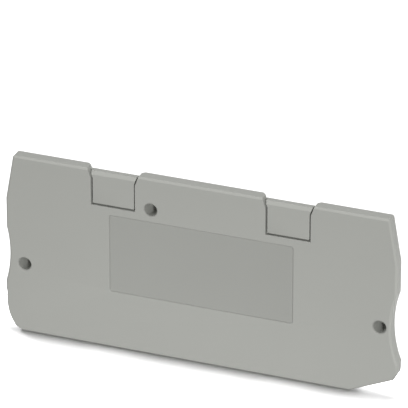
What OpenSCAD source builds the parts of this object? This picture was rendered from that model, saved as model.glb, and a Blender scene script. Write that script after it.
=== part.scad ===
// End cover for a row of rail-mounted terminal blocks: a flat moulded plate with two break-out tabs
// in its top edge, a recessed label panel, and three hollow snap pins on the back.
// The plate stands upright: X runs along it, Y from the front face to the pins, Z up.
// The origin is on the bottom edge, at half the length and half the thickness.

/* [Plate] */
// Overall length
plate_l = 69.3; // [66:0.1:90]
// Overall height
plate_h = 32.5; // [32:0.1:45]
// Thickness between the front face and the seating face at the back
plate_t = 2.2; // [2:0.1:3.5]
// Chamfer around the front face
edge_chamfer = 0.3; // [0.1:0.05:0.5]
// Corner radius left on the front face inside the chamfer
face_corner_r = 0.15; // [0.05:0.05:0.6]

/* [Ends] */
// How far below the top edge both ends start to lean in
shoulder_depth = 8.1; // [6:0.1:10]
// How far each end leans in at the top edge
shoulder_inset = 1.4; // [0.5:0.1:3]
// Radius that softens the ends of both scallops
scallop_edge_r = 1.5; // [0.6:0.1:2.5]
// Step of the left end above its scallop, in from the overall length
left_step = 0.25; // [0.1:0.05:1]
// Height of the middle of the left scallop
left_scallop_z = 14.05; // [12.5:0.05:16]
// Chord of the left scallop
left_scallop_l = 10; // [8:0.1:12]
// Depth of the left scallop
left_scallop_depth = 0.65; // [0.3:0.05:1]
// Length of the rounded corner at the bottom left
foot_corner_l = 3; // [2:0.1:6]
// Height of the rounded corner at the bottom left
foot_corner_h = 5.8; // [3:0.1:6.4]
// Step of the right end above its scallop, in from the overall length
right_step = 0.35; // [0.1:0.05:1]
// Height of the middle of the right scallop
right_scallop_z = 12.55; // [12.2:0.05:14]
// Chord of the right scallop
right_scallop_l = 12.7; // [10:0.1:13.2]
// Depth of the right scallop
right_scallop_depth = 1.1; // [0.5:0.05:1.3]
// Height of the foot of the nose's upright edge
nose_z = 4.5; // [4.2:0.05:4.8]
// Height of the nose's lower corner
nose_corner_z = 3.25; // [2.5:0.05:3.4]
// How far the nose's lower corner lies in from the overall length
nose_corner_inset = 0.7; // [0.4:0.05:1.2]
// Radius of the nose above its lower corner
nose_r = 1; // [0.6:0.1:1.5]
// Length of the slanted underside
underside_l = 8.2; // [5:0.1:12]

/* [Break-out tabs] */
// Middle of the left tab along the plate
tab_1_x = -15.2; // [-18:0.05:-14.9]
// Middle of the right tab along the plate
tab_2_x = 15.45; // [10:0.05:18]
// Width of a tab below its flare
tab_w = 7.3; // [5:0.05:7.7]
// How far a tab's face lies behind the front face
tab_face_depth = 0.25; // [0.1:0.05:0.4]
// How far a tab's back lies behind the front face
tab_back_depth = 1.75; // [1.2:0.05:1.8]
// How far a tab's top lies below the plate's top edge
tab_drop = 0.55; // [0.2:0.05:0.8]
// How far a tab's bottom lies below the plate's top edge
tab_depth = 6.25; // [4:0.05:6.5]
// Chamfer on the front of a tab's top
tab_chamfer = 0.5; // [0.2:0.05:0.7]
// How much wider a tab is on each side at the plate's top edge
flare_w = 0.6; // [0.2:0.05:0.9]
// Height of the flare under the plate's top edge
flare_h = 1.7; // [1.4:0.1:2.5]
// Width of the slot around a tab
slot_w = 0.25; // [0.15:0.01:0.4]
// Thickness of the web that is left at the bottom of the slot
web_t = 0.4; // [0.2:0.05:0.6]
// How much wider on each side the pocket behind a tab is at the back than at its floor
pocket_draft = 0.5; // [0.1:0.05:0.6]

/* [Label panel] */
// Middle of the panel along the plate
panel_x = 0.25; // [-1:0.05:1]
// Height of the middle of the panel
panel_z = 17.5; // [15.5:0.1:17.8]
// Length of the panel
panel_l = 32.4; // [20:0.1:40]
// Height of the panel
panel_h = 14.2; // [8:0.1:14.6]
// Depth of the panel below the front face
panel_depth = 0.25; // [0.1:0.05:0.5]
// How much smaller on each side the panel is at its floor than at the front face
panel_draft = 0.15; // [0.02:0.01:0.2]
// Corner radius of the panel's floor
panel_r = 0.3; // [0.1:0.05:1.5]

/* [Snap pins] */
// Distance of the left pin from the left end
pin_left_inset = 3.45; // [3.2:0.05:6]
// Distance of the right pin from the right end
pin_right_inset = 3.2; // [3.2:0.05:6]
// Height of the two outer pins
pin_outer_z = 12.7; // [11:0.1:15]
// Middle pin along the plate
pin_mid_x = -8.55; // [-8.6:0.05:8.5]
// How far the middle pin lies below the plate's top edge
pin_mid_depth = 5.7; // [4:0.1:6]
// Diameter of a pin
pin_d = 3; // [2.8:0.1:3.6]
// Length of a pin behind the seating face
pin_l = 1.6; // [1.2:0.1:6]
// Chamfer on a pin's tip
pin_tip = 0.5; // [0.2:0.05:0.7]
// Diameter of the core hole that runs into a pin from the front
core_d = 2.2; // [1.4:0.1:2.3]
// Thickness of the closed end of a pin
core_end_t = 0.5; // [0.5:0.1:1.5]
// Countersink at the mouth of a core hole
core_chamfer = 0.2; // [0.05:0.05:0.3]

/* [Hidden] */
$fn = 48;
arc_steps = 16;
corner_steps = 4;
overlap = 0.5;
ring_overlap = edge_chamfer / 20;
plastic_grey = [0.64, 0.65, 0.62];

end_x = plate_l / 2;
left_upper_x = -end_x + left_step;
right_upper_x = end_x - right_step;
shoulder_z = plate_h - shoulder_depth;
corner_r = edge_chamfer + face_corner_r;
foot_right = [end_x - underside_l, 0];
nose_corner = [end_x - nose_corner_inset, nose_corner_z];
nose_foot = [end_x, nose_z];
right_scallop_foot = [end_x, right_scallop_z - right_scallop_l / 2];
right_scallop_top = [right_upper_x, right_scallop_z + right_scallop_l / 2];
right_shoulder = [right_upper_x, shoulder_z];
top_right = [right_upper_x - shoulder_inset, plate_h];
top_left = [left_upper_x + shoulder_inset, plate_h];
left_shoulder = [left_upper_x, shoulder_z];
left_scallop_top = [left_upper_x, left_scallop_z + left_scallop_l / 2];
left_scallop_foot = [-end_x, left_scallop_z - left_scallop_l / 2];

tab_xs = [tab_1_x, tab_2_x];
tab_top = plate_h - tab_drop;
tab_foot = plate_h - tab_depth;
flare_z = plate_h - flare_h;
above_plate = plate_h + overlap;
pocket_depth = plate_t - tab_back_depth;
slot_floor = pocket_depth + web_t;
pins = [
    [-end_x + pin_left_inset, pin_outer_z],
    [pin_mid_x, plate_h - pin_mid_depth],
    [end_x - pin_right_inset, pin_outer_z],
];

function unit(v) = v / norm(v);
function heading(v) = atan2(v.y, v.x);
function right_of(v) = [v.y, -v.x];
function on_circle(centre, r, angle) = centre + r * [cos(angle), sin(angle)];

// Arc from point p to point q, with its middle the given depth to the left of the straight line
function arc(p, q, depth) =
    let (chord = norm(q - p))
    let (r = (chord * chord / 4 + depth * depth) / (2 * depth))
    let (side = -right_of(unit(q - p)))
    let (centre = (p + q) / 2 + side * (depth - r))
    let (half = asin(chord / (2 * r)))
    [for (i = [0 : arc_steps]) on_circle(centre, r, heading(side) + half * (1 - 2 * i / arc_steps))];

// Corner q of an outline, met from p and left for s, rounded to radius r
function rounded(p, q, s, r) =
    let (u = unit(p - q))
    let (v = unit(s - q))
    let (half = acos(u * v) / 2)
    let (centre = q + unit(u + v) * r / sin(half))
    let (sweep = cross(v, u) > 0 ? 90 - half : half - 90)
    let (middle = heading(-u - v))
    [for (i = [0 : corner_steps]) on_circle(centre, r, middle + sweep * (2 * i / corner_steps - 1))];

// Scallop between two points of an outline, with its ends softened towards the points before and after
function scallop(before, p, q, after, depth) =
    let (points = arc(p, q, depth))
    concat(
        rounded(before, p, points[1], scallop_edge_r),
        [for (i = [1 : arc_steps - 1]) points[i]],
        rounded(points[arc_steps - 1], q, after, scallop_edge_r)
    );

// Quarter of an ellipse at the bottom left, from the end down to the bottom edge
function foot_corner() = [
    for (i = [0 : arc_steps])
        let (a = 180 + 90 * i / arc_steps)
        [-end_x + foot_corner_l * (1 + cos(a)), foot_corner_h * (1 + sin(a))]
];

// The plate seen from the front, counter-clockwise from the bottom left
function plate_outline() =
    let (corner_top = foot_corner()[0])
    concat(
        foot_corner(),
        [foot_right],
        rounded(foot_right, nose_corner, nose_foot, corner_r),
        rounded(nose_corner, nose_foot, right_scallop_foot, nose_r),
        scallop(nose_foot, right_scallop_foot, right_scallop_top, right_shoulder, right_scallop_depth),
        [right_shoulder],
        rounded(right_shoulder, top_right, top_left, corner_r),
        rounded(top_right, top_left, left_shoulder, corner_r),
        [left_shoulder],
        scallop(left_shoulder, left_scallop_top, left_scallop_foot, corner_top, left_scallop_depth)
    );

// Counter-clockwise outline moved in by the distance d
function inset(points, d) =
    let (n = len(points))
    [
        for (i = [0 : n - 1])
            let (a = right_of(unit(points[i] - points[(i + n - 1) % n])))
            let (b = right_of(unit(points[(i + 1) % n] - points[i])))
            points[i] - d * (a + b) / (1 + a * b)
    ];

// Rectangle with rounded corners, counter-clockwise about the point c
function rounded_rectangle(c, l, h, r) =
    let (corners = [c + [-l, -h] / 2, c + [l, -h] / 2, c + [l, h] / 2, c + [-l, h] / 2])
    [for (i = [0 : 3]) each rounded(corners[(i + 3) % 4], corners[i], corners[(i + 1) % 4], r)];

// Half the width of a tab at the height z in its flare
function flared(z) = tab_w / 2 + flare_w * (z - flare_z) / flare_h;

// Tab seen from the front up to the height z, grown by a margin at its sides and its foot
function tab_outline(x, margin, z) = [
    [x - flared(z) - margin, z],
    [x - flared(flare_z) - margin, flare_z],
    [x - flared(flare_z) - margin, tab_foot - margin],
    [x + flared(flare_z) + margin, tab_foot - margin],
    [x + flared(flare_z) + margin, flare_z],
    [x + flared(z) + margin, z],
];

// Solid through a stack of outlines with as many points each, at rising heights.
// The patches name the points of the convex pieces that an outline is made of.
module loft(outlines, heights, patches) {
    n = len(outlines[0]);
    top = n * (len(outlines) - 1);
    points = [
        for (k = [0 : len(outlines) - 1])
            for (p = outlines[k])
                [p.x, p.y, heights[k]]
    ];
    sides = [
        for (k = [0 : n : top - 1])
            for (i = [0 : n - 1])
                let (j = (i + 1) % n)
                [k + i, k + n + i, k + n + j, k + j]
    ];
    floors = patches;
    lids = [for (patch = patches) [for (i = [len(patch) - 1 : -1 : 0]) top + patch[i]]];
    polyhedron(points, concat(floors, lids, sides));
}

// Ring of triangular section that takes the chamfer off around the front face
module chamfer_ring(outline) {
    n = len(outline);
    outer = inset(outline, -ring_overlap);
    inner = inset(outline, edge_chamfer + ring_overlap);
    low = plate_t - edge_chamfer - ring_overlap;
    high = plate_t + ring_overlap;
    points = concat(
        [for (p = outer) [p.x, p.y, low]],
        [for (p = outer) [p.x, p.y, high]],
        [for (p = inner) [p.x, p.y, high]]
    );
    sides = [
        for (k = [0 : 2])
            for (i = [0 : n - 1])
                let (j = (i + 1) % n)
                let (next = (k + 1) % 3)
                [k * n + i, next * n + i, next * n + j, k * n + j]
    ];
    polyhedron(points, sides);
}

// Plate lying on its back, with the chamfer around its front face
module plate_blank() {
    outline = plate_outline();
    difference() {
        linear_extrude(plate_t)
            polygon(outline);
        chamfer_ring(outline);
    }
}

// Tab with its sunk face and chamfered top, on the web that carries it
module tab(x) {
    reach = flared(tab_top) + slot_w + overlap;
    face = plate_t - tab_face_depth;
    translate([x - reach, 0, -plate_t])
        cube([2 * reach, tab_top, plate_t + slot_floor]);
    difference() {
        linear_extrude(face)
            polygon(tab_outline(x, 0, tab_top));
        translate([x - reach, tab_top, face - tab_chamfer])
            rotate([45, 0, 0])
                cube([2 * reach, plate_t, plate_t]);
    }
}

// Everything between the outer walls of a tab's slot that is neither the tab nor its web
module tab_gap(x) {
    difference() {
        translate([0, 0, -overlap])
            linear_extrude(plate_t + 2 * overlap)
                polygon(tab_outline(x, slot_w, above_plate));
        tab(x);
    }
}

// Pocket that thins the plate behind a tab and opens towards the back
module tab_pocket(x) {
    mouth = tab_outline(x, slot_w + pocket_draft, above_plate);
    floor_edge = tab_outline(x, slot_w, above_plate);
    flare = [0, 1, 4, 5];
    below_flare = [1, 2, 3, 4];
    loft([mouth, mouth, floor_edge], [-overlap, 0, pocket_depth], [flare, below_flare]);
}

// Recess of the label panel
module panel_recess() {
    floor_l = panel_l - 2 * panel_draft;
    floor_h = panel_h - 2 * panel_draft;
    floor_edge = rounded_rectangle([panel_x, panel_z], floor_l, floor_h, panel_r);
    rim = inset(floor_edge, -2 * panel_draft);
    whole = [for (i = [0 : len(rim) - 1]) i];
    loft([floor_edge, rim], [plate_t - panel_depth, plate_t + panel_depth], [whole]);
}

// Round pin behind the plate, rooted in it, with a chamfered tip
module pin() {
    translate([0, 0, -pin_l]) cylinder(d1 = pin_d - 2 * pin_tip, d2 = pin_d, h = pin_tip);
    translate([0, 0, pin_tip - pin_l]) cylinder(d = pin_d, h = pin_l - pin_tip + plate_t / 2);
}

// Blind hole from the front face into a pin
module core_hole() {
    translate([0, 0, core_end_t - pin_l]) cylinder(d = core_d, h = plate_t + pin_l);
    translate([0, 0, plate_t - core_chamfer])
        cylinder(d1 = core_d, d2 = core_d + 4 * core_chamfer, h = 2 * core_chamfer);
}

// The one moulded piece, turned from lying on its back to standing on its bottom edge
module end_cover() {
    color(plastic_grey)
        translate([0, plate_t / 2, 0])
            rotate([90, 0, 0])
                difference() {
                    union() {
                        difference() {
                            plate_blank();
                            for (x = tab_xs) {
                                tab_gap(x);
                                tab_pocket(x);
                            }
                            panel_recess();
                        }
                        for (p = pins)
                            translate(p) pin();
                    }
                    for (p = pins)
                        translate(p) core_hole();
                }
}

end_cover();
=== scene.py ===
import math

import bmesh
import bpy
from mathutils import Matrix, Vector


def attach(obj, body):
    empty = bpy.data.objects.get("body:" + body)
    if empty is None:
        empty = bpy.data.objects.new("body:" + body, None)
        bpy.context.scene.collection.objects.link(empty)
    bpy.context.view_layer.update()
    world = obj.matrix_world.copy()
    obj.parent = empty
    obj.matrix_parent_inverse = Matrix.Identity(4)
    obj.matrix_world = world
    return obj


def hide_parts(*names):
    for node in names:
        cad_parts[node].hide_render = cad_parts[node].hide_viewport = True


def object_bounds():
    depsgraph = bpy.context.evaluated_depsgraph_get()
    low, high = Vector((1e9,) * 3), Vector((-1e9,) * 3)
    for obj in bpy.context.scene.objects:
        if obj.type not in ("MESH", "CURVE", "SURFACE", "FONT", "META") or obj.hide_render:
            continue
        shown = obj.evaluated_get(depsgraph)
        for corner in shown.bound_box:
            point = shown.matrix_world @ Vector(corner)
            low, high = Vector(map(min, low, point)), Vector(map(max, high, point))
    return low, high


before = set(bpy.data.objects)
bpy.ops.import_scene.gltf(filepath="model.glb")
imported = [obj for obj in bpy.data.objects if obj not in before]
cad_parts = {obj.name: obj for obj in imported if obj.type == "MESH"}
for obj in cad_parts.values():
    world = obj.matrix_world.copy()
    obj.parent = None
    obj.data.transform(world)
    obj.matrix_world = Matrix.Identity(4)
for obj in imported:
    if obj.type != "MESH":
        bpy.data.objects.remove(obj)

cad_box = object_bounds()

MM = 0.001
WHITE = (1, 1, 1, 1)

# Camera, as it stood for the photograph
CAMERA_AZIMUTH = 21.049
CAMERA_ELEVATION = 26.581
CAMERA_DISTANCE = 775.3 * MM
CAMERA_TARGET = Vector((-1.165, 4.266, 26.790)) * MM
CAMERA_LENS = 415.85
CAMERA_SENSOR = 36
CAMERA_CLIP_RATIO = 100

# Edges of the moulding, in millimetres, the unit that they are worked in
WELD_DISTANCE = 0.002
SLIVER_LENGTH = 0.0005
FLAT_ANGLE = math.radians(0.5)
SHORT_EDGE = 0.01
SMOOTH_ANGLE = math.radians(30)
EDGE_ANGLE = math.radians(25)
EDGE_ROUND = 0.06
RIM_ANGLE = math.radians(50)
RIM_ROUND = 0.14
ROUND_SEGMENTS = 3

# Grey polyamide, with the fine grain of the mould and faint clouds in its colour
PLASTIC_COLOUR = (0.37, 0.375, 0.35)
PLASTIC_ROUGHNESS = 0.58
PLASTIC_IOR = 1.53
GRAIN_SCALE = 6000
GRAIN_DETAIL = 3
GRAIN_SHADE = 0.05
GRAIN_ROUGHNESS = 0.12
GRAIN_DEPTH = 0.012 * MM
GRAIN_STRENGTH = 0.35
CLOUD_SCALE = 90
CLOUD_DETAIL = 4
CLOUD_SHADE = 0.04
NOISE_MIDDLE = 0.5

# Label panel in the front face: middle, size, the depth at which its finish starts, and that finish
PANEL_X = 0.25 * MM
PANEL_Z = 17.5 * MM
PANEL_LENGTH = 32.4 * MM
PANEL_HEIGHT = 14.2 * MM
PANEL_LIP = 0.04 * MM
PANEL_SHADE = 0.14
PANEL_SMOOTHNESS = 0.08

# Floor
FLOOR_SIZE = 4
FLOOR_COLOUR = (0.8, 0.8, 0.8, 1)

# White room: the light that it gives from every side alike, and how bright it looks
ROOM_LIGHT = 0.08
ROOM_BRIGHTNESS = 1

# Strength at which a distant lamp alone renders a matt face turned to it in its own colour
PLAIN_LIGHT = math.pi


class Signal:
    """Output of a shader node. Arithmetic on it adds Math nodes, and node() adds any other node."""

    def __init__(self, tree, socket=None):
        self.tree = tree
        self.socket = socket

    def node(self, kind, settings=None, sockets=None, output=0):
        """Add a node, set it, and then give its sockets their values or links."""
        node = self.tree.nodes.new(kind)
        for name, value in (settings or {}).items():
            setattr(node, name, value)
        for name, value in (sockets or {}).items():
            if isinstance(value, Signal):
                self.tree.links.new(value.socket, node.inputs[name])
            else:
                node.inputs[name].default_value = value
        return Signal(self.tree, node.outputs[output] if node.outputs else None)

    def outputs(self, *names):
        """Named outputs of the node that this output belongs to."""
        return [Signal(self.tree, self.socket.node.outputs[name]) for name in names]

    def math(self, operation, *values):
        return self.node("ShaderNodeMath", {"operation": operation}, dict(enumerate(values)))

    def __add__(self, other):
        return self.math("ADD", self, other)

    def __sub__(self, other):
        return self.math("SUBTRACT", self, other)

    def __rsub__(self, other):
        return self.math("SUBTRACT", other, self)

    def __mul__(self, other):
        return self.math("MULTIPLY", self, other)

    def __abs__(self):
        return self.math("ABSOLUTE", self)

    def __lt__(self, other):
        return self.math("LESS_THAN", self, other)

    def __gt__(self, other):
        return self.math("GREATER_THAN", self, other)

    __radd__ = __add__
    __rmul__ = __mul__


def new_material(name):
    """An empty material with the start of its node tree."""
    material = bpy.data.materials.new(name)
    material.use_nodes = True
    material.node_tree.nodes.clear()
    return material, Signal(material.node_tree)


def noise(place, scale, detail):
    """Soft random pattern from 0 to 1, fixed to the piece."""
    return place.node(
        "ShaderNodeTexNoise", sockets={"Vector": place, "Scale": scale, "Detail": detail}
    )


def in_label_panel(place):
    """1 on the sides and the floor of the label panel, 0 on the rest of the cover."""
    x, y, z = place.node("ShaderNodeSeparateXYZ", sockets={"Vector": place}).outputs("X", "Y", "Z")
    in_outline = (abs(x - PANEL_X) < PANEL_LENGTH / 2) * (abs(z - PANEL_Z) < PANEL_HEIGHT / 2)
    front_face = cad_box[0][1]
    return in_outline * (y > front_face + PANEL_LIP) * (y < 0)


def grey_polyamide():
    """Matt moulded plastic with a fine grain, smoother and darker in the label panel."""
    material, start = new_material("grey_polyamide_moulding")
    place = start.node("ShaderNodeTexCoord", output="Object")
    panel = in_label_panel(place)
    grain = noise(place, GRAIN_SCALE, GRAIN_DETAIL)
    clouds = noise(place, CLOUD_SCALE, CLOUD_DETAIL)
    shade = (
        1
        + CLOUD_SHADE * (clouds - NOISE_MIDDLE)
        + GRAIN_SHADE * (grain - NOISE_MIDDLE)
        - PANEL_SHADE * panel
    )
    colour = start.node(
        "ShaderNodeVectorMath", {"operation": "SCALE"}, {0: PLASTIC_COLOUR, "Scale": shade}
    )
    roughness = (
        PLASTIC_ROUGHNESS + GRAIN_ROUGHNESS * (grain - NOISE_MIDDLE) - PANEL_SMOOTHNESS * panel
    )
    relief = start.node(
        "ShaderNodeBump",
        sockets={"Height": grain, "Strength": GRAIN_STRENGTH, "Distance": GRAIN_DEPTH},
    )
    plastic = start.node(
        "ShaderNodeBsdfPrincipled",
        sockets={
            "Base Color": colour,
            "Roughness": roughness,
            "Normal": relief,
            "IOR": PLASTIC_IOR,
        },
    )
    start.node("ShaderNodeOutputMaterial", sockets={"Surface": plastic})
    return material


def white_board():
    """Matt white board."""
    material, start = new_material("white_board")
    board = start.node("ShaderNodeBsdfDiffuse", sockets={"Color": FLOOR_COLOUR})
    start.node("ShaderNodeOutputMaterial", sockets={"Surface": board})
    return material


def make_active(piece):
    """Select one piece alone, for the operators that follow."""
    bpy.ops.object.select_all(action="DESELECT")
    piece.select_set(True)
    bpy.context.view_layer.objects.active = piece


def rescale(piece, factor):
    """Scale the mesh of the active piece, with the object itself left unscaled."""
    piece.scale = (factor, factor, factor)
    bpy.ops.object.transform_apply(location=False, rotation=False, scale=True)


def join_triangles():
    """Weld the active piece's loose triangles and join those that lie flat to one another."""
    bpy.ops.object.mode_set(mode="EDIT")
    bpy.ops.mesh.select_all(action="SELECT")
    bpy.ops.mesh.remove_doubles(threshold=WELD_DISTANCE)
    bpy.ops.mesh.dissolve_degenerate(threshold=SLIVER_LENGTH)
    bpy.ops.mesh.dissolve_limited(angle_limit=FLAT_ANGLE)
    bpy.ops.object.mode_set(mode="OBJECT")


def mark_rounds(cover):
    """Bevel weights: wide on the front face's steep rims and their inner corners, narrow elsewhere."""
    front = min(vertex.co.y for vertex in cover.data.vertices) + WELD_DISTANCE
    mesh = bmesh.new()
    mesh.from_mesh(cover.data)
    short = [edge for edge in mesh.edges if edge.calc_length() < SHORT_EDGE]
    bmesh.ops.collapse(mesh, edges=short)
    weight = mesh.edges.layers.float.new("bevel_weight_edge")
    for edge in mesh.edges:
        angle = edge.calc_face_angle()
        at_front = [vertex.co.y < front for vertex in edge.verts]
        inner_corner = any(at_front) and not edge.is_convex
        if (all(at_front) or inner_corner) and angle > RIM_ANGLE:
            edge[weight] = 1
        elif angle > EDGE_ANGLE:
            edge[weight] = EDGE_ROUND / RIM_ROUND
    mesh.to_mesh(cover.data)
    mesh.free()


def round_edges(cover):
    """Round each marked edge as wide as its weight says."""
    rounds = cover.modifiers.new("edge_rounds", "BEVEL")
    rounds.width = RIM_ROUND
    rounds.segments = ROUND_SEGMENTS
    rounds.limit_method = "WEIGHT"
    rounds.use_clamp_overlap = False
    rounds.harden_normals = True
    bpy.ops.object.modifier_apply(modifier=rounds.name)


def moulded_cover(node):
    """The end cover with every sharp edge broken to a small round, as a mould leaves it."""
    cover = bpy.data.objects.new("moulded_end_cover", node.data.copy())
    bpy.context.scene.collection.objects.link(cover)
    make_active(cover)
    rescale(cover, 1 / MM)
    join_triangles()
    bpy.ops.object.shade_smooth_by_angle(angle=SMOOTH_ANGLE)
    mark_rounds(cover)
    round_edges(cover)
    rescale(cover, MM)
    cover.data.materials.clear()
    cover.data.materials.append(grey_polyamide())
    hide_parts("end_cover")
    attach(cover, "root")
    return cover


def floor():
    """Board under the cover. It takes the shadow, and throws no light or shadow back on the cover."""
    bpy.ops.object.select_all(action="DESELECT")
    bpy.ops.mesh.primitive_plane_add(size=FLOOR_SIZE, location=(0, 0, cad_box[0][2]))
    board = bpy.context.object
    board.name = "floor"
    board.data.materials.append(white_board())
    board.visible_diffuse = False
    board.visible_glossy = False
    board.visible_shadow = False
    return board


def towards(azimuth, elevation):
    """Unit vector from the cover to a light or the camera, with azimuth from the front to the right."""
    a, e = math.radians(azimuth), math.radians(elevation)
    return Vector((math.sin(a) * math.cos(e), -math.cos(a) * math.cos(e), math.sin(e)))


def place_light(data, lit, azimuth, elevation):
    """Light that shines from that direction and lights one object alone."""
    light = bpy.data.objects.new(data.name, data)
    bpy.context.scene.collection.objects.link(light)
    light.rotation_euler = towards(azimuth, elevation).to_track_quat("Z", "Y").to_euler()
    receivers = bpy.data.collections.new(data.name + "_receivers")
    receivers.objects.link(lit)
    light.light_linking.receiver_collection = receivers
    return light


def far_lamp(name, lit, azimuth, elevation, spread, share):
    """Distant lamp that gives a face turned to it the share of plain light that is asked."""
    data = bpy.data.lights.new(name, "SUN")
    data.energy = share * PLAIN_LIGHT
    data.angle = math.radians(spread)
    place_light(data, lit, azimuth, elevation)


def near_card(name, lit, place, azimuth, elevation, width, height, power):
    """Lit card close to the cover, with its place and size in millimetres."""
    data = bpy.data.lights.new(name, "AREA")
    data.shape = "RECTANGLE"
    data.size = width * MM
    data.size_y = height * MM
    data.energy = power
    card = place_light(data, lit, azimuth, elevation)
    card.location = Vector(place) * MM
    card.visible_camera = False


def room():
    """White room: it shows white, and lights every side at a low level."""
    world = bpy.data.worlds.new("studio")
    bpy.context.scene.world = world
    world.use_nodes = True
    world.node_tree.nodes.clear()
    start = Signal(world.node_tree)
    rays = start.node("ShaderNodeLightPath")
    seen = sum(rays.outputs("Is Camera Ray", "Is Glossy Ray", "Is Transmission Ray"))
    lit, shown = (
        start.node("ShaderNodeBackground", sockets={"Color": WHITE, "Strength": strength})
        for strength in (ROOM_LIGHT, ROOM_BRIGHTNESS)
    )
    both = start.node("ShaderNodeMixShader", sockets={0: seen, 1: lit, 2: shown})
    start.node("ShaderNodeOutputWorld", sockets={"Surface": both})


def lights(cover, board):
    """Studio light, with lamps and cards of their own for the cover and for the floor."""
    room()
    far_lamp("front_lamp", cover, azimuth=31, elevation=11, spread=10, share=0.7)
    near_card(
        "front_card", cover, place=(10, -45, -5), azimuth=0, elevation=0,
        width=100, height=20, power=0.005,
    )
    far_lamp("left_lamp", cover, azimuth=-48, elevation=14, spread=20, share=0.252)
    near_card(
        "right_card", cover, place=(75, 1, 0), azimuth=90, elevation=-73,
        width=4, height=12, power=0.0104,
    )
    far_lamp("top_lamp", cover, azimuth=180, elevation=80, spread=30, share=0.57)
    far_lamp("back_lamp", cover, azimuth=185, elevation=-12, spread=40, share=0.55)
    far_lamp("floor_lamp", board, azimuth=180, elevation=87.2, spread=6.6, share=1.18)
    far_lamp("floor_side_lamp", board, azimuth=-118, elevation=24, spread=16, share=1)
    near_card(
        "floor_card", board, place=(0, 12, 4), azimuth=180, elevation=0,
        width=90, height=6, power=0.03,
    )


def camera():
    """Camera with the long lens and the place that the photograph shows."""
    data = bpy.data.cameras.new("camera")
    data.lens = CAMERA_LENS
    data.sensor_width = CAMERA_SENSOR
    data.clip_start = CAMERA_DISTANCE / CAMERA_CLIP_RATIO
    data.clip_end = CAMERA_DISTANCE * CAMERA_CLIP_RATIO
    eye = bpy.data.objects.new("camera", data)
    eye.location = CAMERA_TARGET + CAMERA_DISTANCE * towards(CAMERA_AZIMUTH, CAMERA_ELEVATION)
    eye.rotation_euler = (math.radians(90 - CAMERA_ELEVATION), 0, math.radians(CAMERA_AZIMUTH))
    bpy.context.scene.collection.objects.link(eye)
    bpy.context.scene.camera = eye


bpy.context.scene.view_settings.view_transform = "Standard"
lights(moulded_cover(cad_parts["end_cover"]), floor())
camera()
